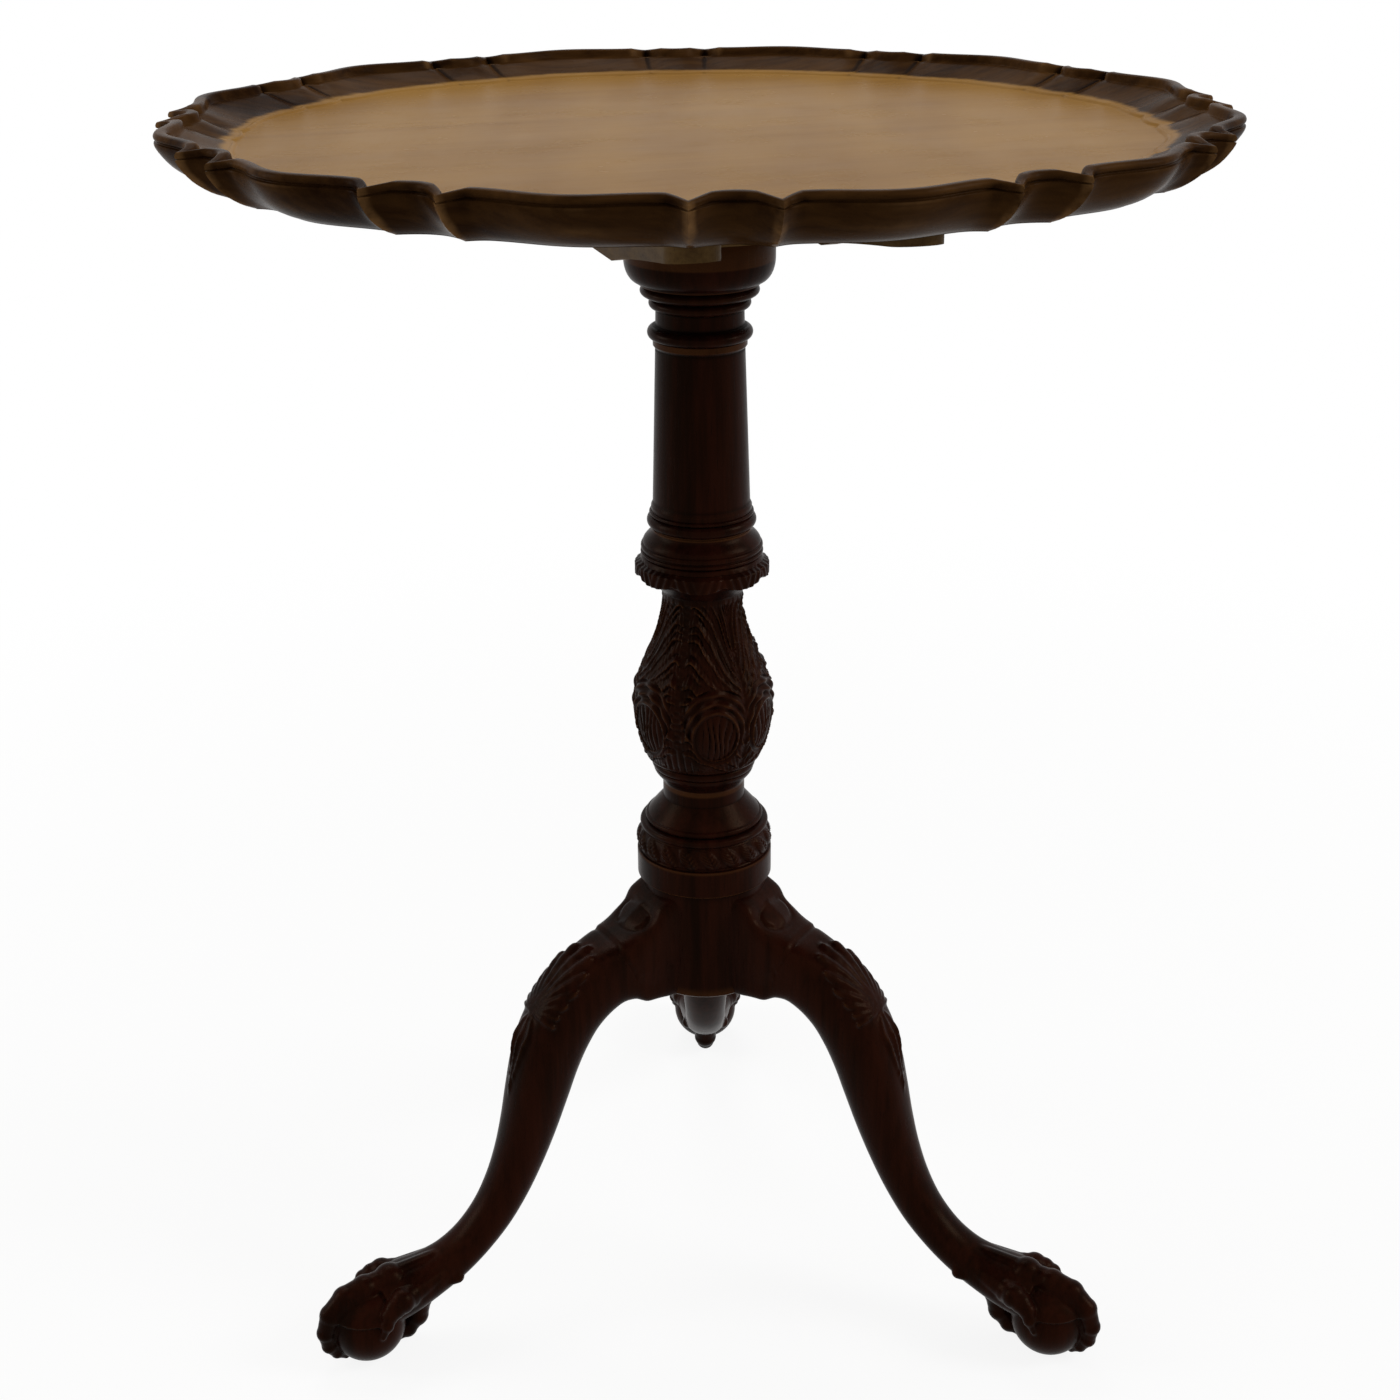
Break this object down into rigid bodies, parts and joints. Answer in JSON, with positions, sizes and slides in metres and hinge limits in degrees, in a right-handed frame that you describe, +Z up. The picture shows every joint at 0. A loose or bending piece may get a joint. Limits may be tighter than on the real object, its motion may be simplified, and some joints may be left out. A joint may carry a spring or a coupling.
{
  "type": "tilt-top tripod table",
  "caption": "Tilt-top tripod table with a dished pie crust top, carved turned pillar and cabriole legs on claw-and-ball feet.",
  "frame": {"origin": "on the floor under the pillar's axis, midway across the outermost points of the top", "axes": "+Z up, -Y front between two legs, +X right; the third leg points to +Y"},
  "size_m": [0.554, 0.554, 0.711],
  "materials": {
    "mahogany_top": "polished, worn to a lighter brown in the field",
    "mahogany": "dark polished",
    "mahogany_under": "oiled, unpolished",
    "iron": "blackened",
    "brass": "aged"
  },
  "bodies": {
    "base": {"pillar": "mahogany", "leg_left": "mahogany", "leg_right": "mahogany", "leg_back": "mahogany", "tilt_block": "mahogany_under", "block_wedges": "mahogany_under", "base_strap": "iron", "base_strap_screws": "iron", "catch_keeper": "brass", "keeper_screws": "brass"},
    "top": {"top_board": "mahogany_top", "bearer_left": "mahogany_under", "bearer_right": "mahogany_under", "bearer_screws": "iron", "catch_plate": "brass", "catch_plate_screws": "brass", "catch_spring": "brass", "spring_rivet": "brass"},
    "bolt": {"catch_bolt": "brass", "catch_knob": "brass"}
  },
  "joints": [
    {"name": "top_tilt", "type": "hinge", "parent": "base", "child": "top", "pos_m": [0.00874, -0.02691, 0.669], "axis": [0.9511, 0.309, 0], "range_deg": [0, 90]},
    {"name": "catch_slide", "type": "slide", "parent": "top", "child": "bolt", "axis": [0.309, -0.9511, 0], "range_m": [0, 0.009]}
  ]
}
